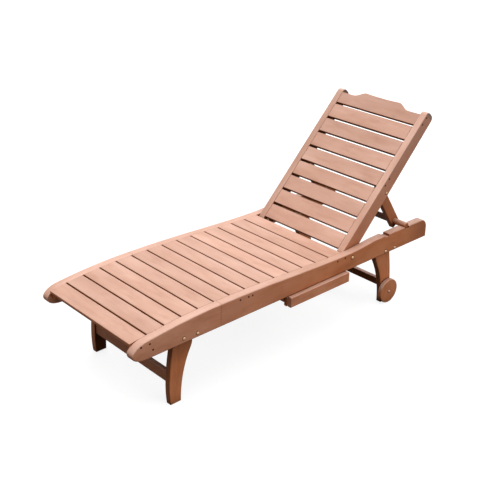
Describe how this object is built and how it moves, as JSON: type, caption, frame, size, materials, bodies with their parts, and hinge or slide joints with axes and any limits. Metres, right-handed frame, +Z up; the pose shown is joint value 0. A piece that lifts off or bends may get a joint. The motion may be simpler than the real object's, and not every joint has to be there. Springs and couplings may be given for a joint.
{
  "type": "sun lounger",
  "caption": "Wooden sun lounger with a curved slatted seat, a reclining backrest on a notched folding prop, sabre legs, rear wheels and a pull-out side tray.",
  "frame": {"origin": "middle of the overall outline, on the floor", "axes": "+X from the foot end to the head end, +Y to the right of a person lying on it, +Z up"},
  "size_m": [1.7124, 0.6364, 0.8852],
  "materials": {
    "inner_wood": "satin",
    "frame_wood": "satin",
    "bolt_steel": "zinc plated",
    "slat_wood": "satin"
  },
  "bodies": {
    "frame": {"axle_bolt_left": "bolt_steel", "axle_bolt_right": "bolt_steel", "front_leg_left": "frame_wood", "front_leg_right": "frame_wood", "front_stretcher": "inner_wood", "hinge_bolt_left": "bolt_steel", "hinge_bolt_right": "bolt_steel", "rear_leg_left": "frame_wood", "rear_leg_right": "frame_wood", "rear_stretcher": "inner_wood", "seat_cleat_left": "inner_wood", "seat_cleat_right": "inner_wood", "seat_slat_1": "slat_wood", "seat_slat_10": "slat_wood", "seat_slat_11": "slat_wood", "seat_slat_12": "slat_wood", "seat_slat_13": "slat_wood", "seat_slat_14": "slat_wood", "seat_slat_2": "slat_wood", "seat_slat_3": "slat_wood", "seat_slat_4": "slat_wood", "seat_slat_5": "slat_wood", "seat_slat_6": "slat_wood", "seat_slat_7": "slat_wood", "seat_slat_8": "slat_wood", "seat_slat_9": "slat_wood", "side_rail_left": "frame_wood", "side_rail_right": "frame_wood", "tray_runner_foot": "inner_wood", "tray_runner_head": "inner_wood"},
    "backrest": {"backrest_crest": "slat_wood", "backrest_rail_left": "frame_wood", "backrest_rail_right": "frame_wood", "backrest_slat_1": "slat_wood", "backrest_slat_2": "slat_wood", "backrest_slat_3": "slat_wood", "backrest_slat_4": "slat_wood", "backrest_slat_5": "slat_wood", "backrest_slat_6": "slat_wood", "backrest_slat_7": "slat_wood", "backrest_slat_8": "slat_wood", "pivot_bolt_left": "bolt_steel", "pivot_bolt_right": "bolt_steel"},
    "prop": {"foot_bar": "slat_wood", "prop_arm_left": "frame_wood", "prop_arm_right": "frame_wood", "prop_rail": "inner_wood"},
    "tray": {"tray_backing": "inner_wood", "tray_batten_foot": "inner_wood", "tray_batten_head": "inner_wood", "tray_front": "slat_wood", "tray_slat_1": "slat_wood", "tray_slat_2": "slat_wood", "tray_slat_3": "slat_wood", "tray_slat_4": "slat_wood"},
    "wheel_left": {"wheel_left": "slat_wood"},
    "wheel_right": {"wheel_right": "slat_wood"}
  },
  "joints": [
    {"name": "backrest_hinge", "type": "hinge", "parent": "frame", "child": "backrest", "pos_m": [0.32033, 0.00785, 0.3355], "axis": [0, -1, 0], "range_deg": [0, 40]},
    {"name": "prop_pivot", "type": "hinge", "parent": "backrest", "child": "prop", "pos_m": [0.57041, 0.00785, 0.55939], "axis": [0, -1, 0], "range_deg": [0, 94.5]},
    {"name": "tray_slide", "type": "slide", "parent": "frame", "child": "tray", "axis": [0, -1, 0], "range_m": [0, 0.25]},
    {"name": "wheel_left_spin", "type": "hinge", "parent": "frame", "child": "wheel_left", "pos_m": [0.61483, -0.27515, 0.0605], "axis": [0, 1, 0], "continuous": true},
    {"name": "wheel_right_spin", "type": "hinge", "parent": "frame", "child": "wheel_right", "pos_m": [0.61483, 0.29085, 0.0605], "axis": [0, 1, 0], "continuous": true}
  ]
}
